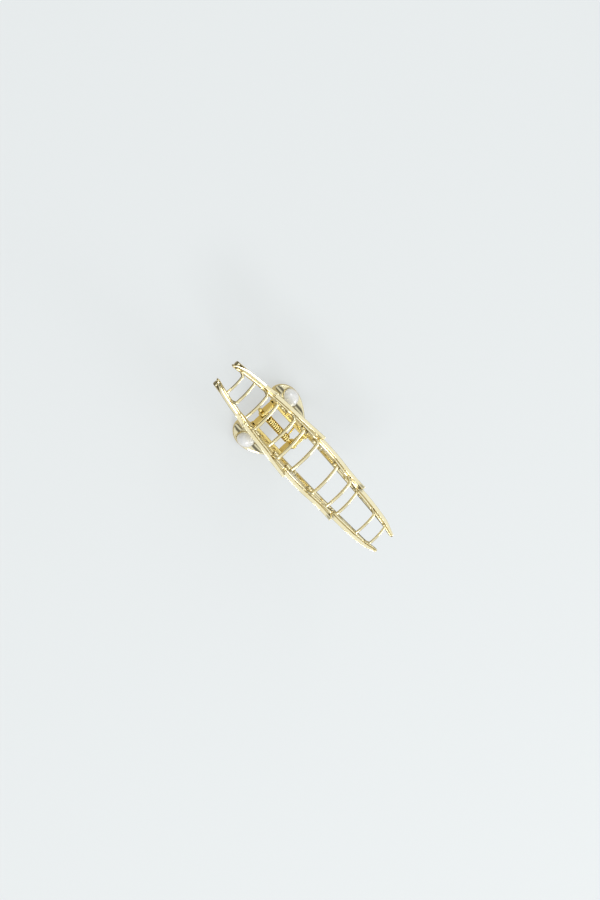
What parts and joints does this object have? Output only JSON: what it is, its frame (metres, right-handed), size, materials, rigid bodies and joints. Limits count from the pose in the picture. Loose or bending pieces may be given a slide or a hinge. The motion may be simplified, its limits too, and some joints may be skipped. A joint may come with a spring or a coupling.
{
  "type": "hair claw clip",
  "caption": "Gold metal hair claw clip: two openwork jaws with crossing wire teeth, hinged on a sprung pin, each with a flared handle that carries a pearl.",
  "frame": {"origin": "centre of the bounding box's base: below the middle of the hinge, on the plane that the two pearls stand on", "axes": "+X along the hinge pin and the clip's length, +Y from jaw A to jaw B, +Z from the handles to the teeth"},
  "size_m": [0.115, 0.0334, 0.0471],
  "materials": {
    "pale_gold": "polished pale gold plate on a cast jaw",
    "tooth_gold": "polished pale gold plate on drawn wire",
    "deep_gold": "deeper gold plate on the hinge hardware",
    "spring": "gold-plated spring wire",
    "pearl": "pearlescent lacquer on a moulded bead"
  },
  "bodies": {
    "jaw_a": {"frame_a": "pale_gold", "bracket_a": "deep_gold", "handle_a": "pale_gold", "bezel_a": "pale_gold", "pearl_a": "pearl", "hinge_pin": "deep_gold", "torsion_spring": "spring", "tooth_a1": "tooth_gold", "tooth_a2": "tooth_gold", "tooth_a3": "tooth_gold", "tooth_a4": "tooth_gold", "tooth_a5": "tooth_gold", "tooth_a6": "tooth_gold"},
    "jaw_b": {"frame_b": "pale_gold", "bracket_b": "deep_gold", "handle_b": "pale_gold", "bezel_b": "pale_gold", "pearl_b": "pearl", "tooth_b1": "tooth_gold", "tooth_b2": "tooth_gold", "tooth_b3": "tooth_gold", "tooth_b4": "tooth_gold", "tooth_b5": "tooth_gold", "tooth_b6": "tooth_gold"}
  },
  "joints": [
    {"name": "jaw_hinge", "type": "hinge", "parent": "jaw_a", "child": "jaw_b", "pos_m": [0, 0, 0.01435], "axis": [-1, 0, 0], "range_deg": [0, 60], "stiffness_Nm_per_rad": 0.08, "springref_deg": -34.38, "deforming": ["torsion_spring"]}
  ]
}
